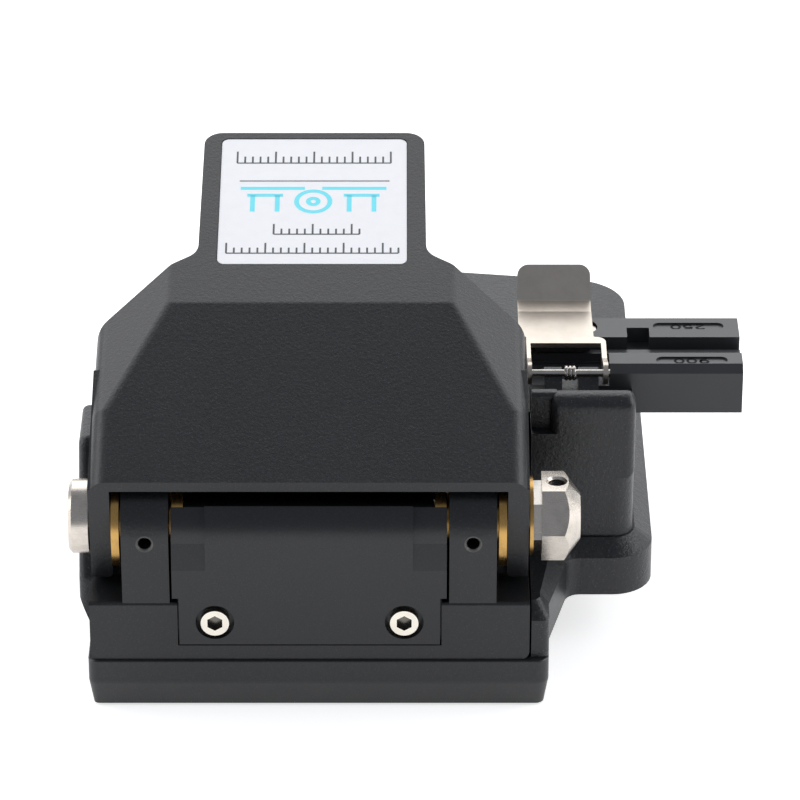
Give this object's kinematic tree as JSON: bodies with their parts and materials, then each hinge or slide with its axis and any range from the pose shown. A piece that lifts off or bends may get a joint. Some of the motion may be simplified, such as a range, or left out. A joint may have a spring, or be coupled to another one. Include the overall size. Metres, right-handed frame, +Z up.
{
  "type": "fibre cleaver",
  "caption": "Palm-sized fibre cleaver: square base, hinged lever with a thumb tab, sliding blade wheel, and a side adapter with a clip lid.",
  "frame": {"origin": "on the face that the rubber mat stands on, under the point where the blade plane crosses the fibre line", "axes": "+X towards the fibre adapter along the fibre line, +Y from the lever's hinge to its thumb tab, +Z up"},
  "size_m": [0.1059, 0.0826, 0.0621],
  "materials": {
    "cast_black": "textured black coat on a die casting",
    "plate_black": "satin black anodised",
    "rubber_black": "matt",
    "steel": "turned and polished",
    "blackened_steel": "black oxide",
    "brass": "turned brass",
    "clamp_metal": "fine machined",
    "moulded_black": "moulded, satin",
    "sheet_steel": "bright rolled sheet",
    "label_white": "printed plain plate",
    "magnet": "plated"
  },
  "bodies": {
    "base": {"base_plate": "plate_black", "rubber_mat": "rubber_black", "plate_screws": "blackened_steel", "main_housing": "cast_black", "top_plate": "clamp_metal", "top_plate_screws": "steel", "hinge_block": "cast_black", "rear_cover": "cast_black", "cover_screws": "steel", "grub_screws": "blackened_steel", "hinge_axle": "steel", "inner_bushes": "brass", "side_washers": "brass", "outer_washer": "brass", "jam_nut": "steel", "lock_collar": "steel", "lever_springs": "steel", "spring_sleeve": "blackened_steel", "guide_rails": "steel", "lower_clamps": "clamp_metal", "lower_pads": "rubber_black", "base_magnets": "magnet", "fibre_adapter": "moulded_black", "adapter_screws": "steel", "lid_pin": "steel", "lid_spring": "steel"},
    "lever": {"lever_cover": "cast_black", "label_plate": "label_white", "arm_bushes": "brass", "striker_plates": "steel", "clamp_guide_screws": "steel", "anvil_bracket": "clamp_metal", "anvil_pin": "steel"},
    "clamp": {"upper_clamp_bar": "clamp_metal", "upper_pads": "rubber_black"},
    "anvil": {"anvil_arm": "steel", "anvil_tip": "rubber_black"},
    "carriage": {"blade_carriage": "clamp_metal", "blade_shaft": "steel"},
    "wheel": {"blade_wheel": "steel"},
    "lid": {"clip_lid": "sheet_steel", "lid_pad": "rubber_black"}
  },
  "joints": [
    {"name": "lever_hinge", "type": "hinge", "parent": "base", "child": "lever", "pos_m": [0, -0.0365, 0.0292], "axis": [1, 0, 0], "range_deg": [-12, 48]},
    {"name": "carriage_slide", "type": "slide", "parent": "base", "child": "carriage", "axis": [0, 1, 0], "range_m": [-0.0037, 0.0145]},
    {"name": "wheel_index", "type": "hinge", "parent": "carriage", "child": "wheel", "pos_m": [0, -0.0054, 0.03062], "axis": [1, 0, 0], "continuous": true},
    {"name": "lid_hinge", "type": "hinge", "parent": "base", "child": "lid", "pos_m": [0.0407, -0.0109, 0.0404], "axis": [1, 0, 0], "range_deg": [0, 80], "stiffness_Nm_per_rad": 0.004, "springref_deg": -20.05},
    {"name": "clamp_travel", "type": "slide", "parent": "lever", "child": "clamp", "axis": [0, -0.2079, 0.9781], "range_m": [0, 0.001], "stiffness_N_per_m": 400, "springref_m": -0.001},
    {"name": "anvil_swing", "type": "hinge", "parent": "lever", "child": "anvil", "pos_m": [0, -0.02069, 0.04381], "axis": [1, 0, 0], "range_deg": [-1.5, 0], "stiffness_Nm_per_rad": 0.02, "springref_deg": 2.86}
  ],
  "couplings": [
    {"joint": "carriage_slide", "follows": "lever_hinge", "m_per_rad": 0.017189}
  ]
}
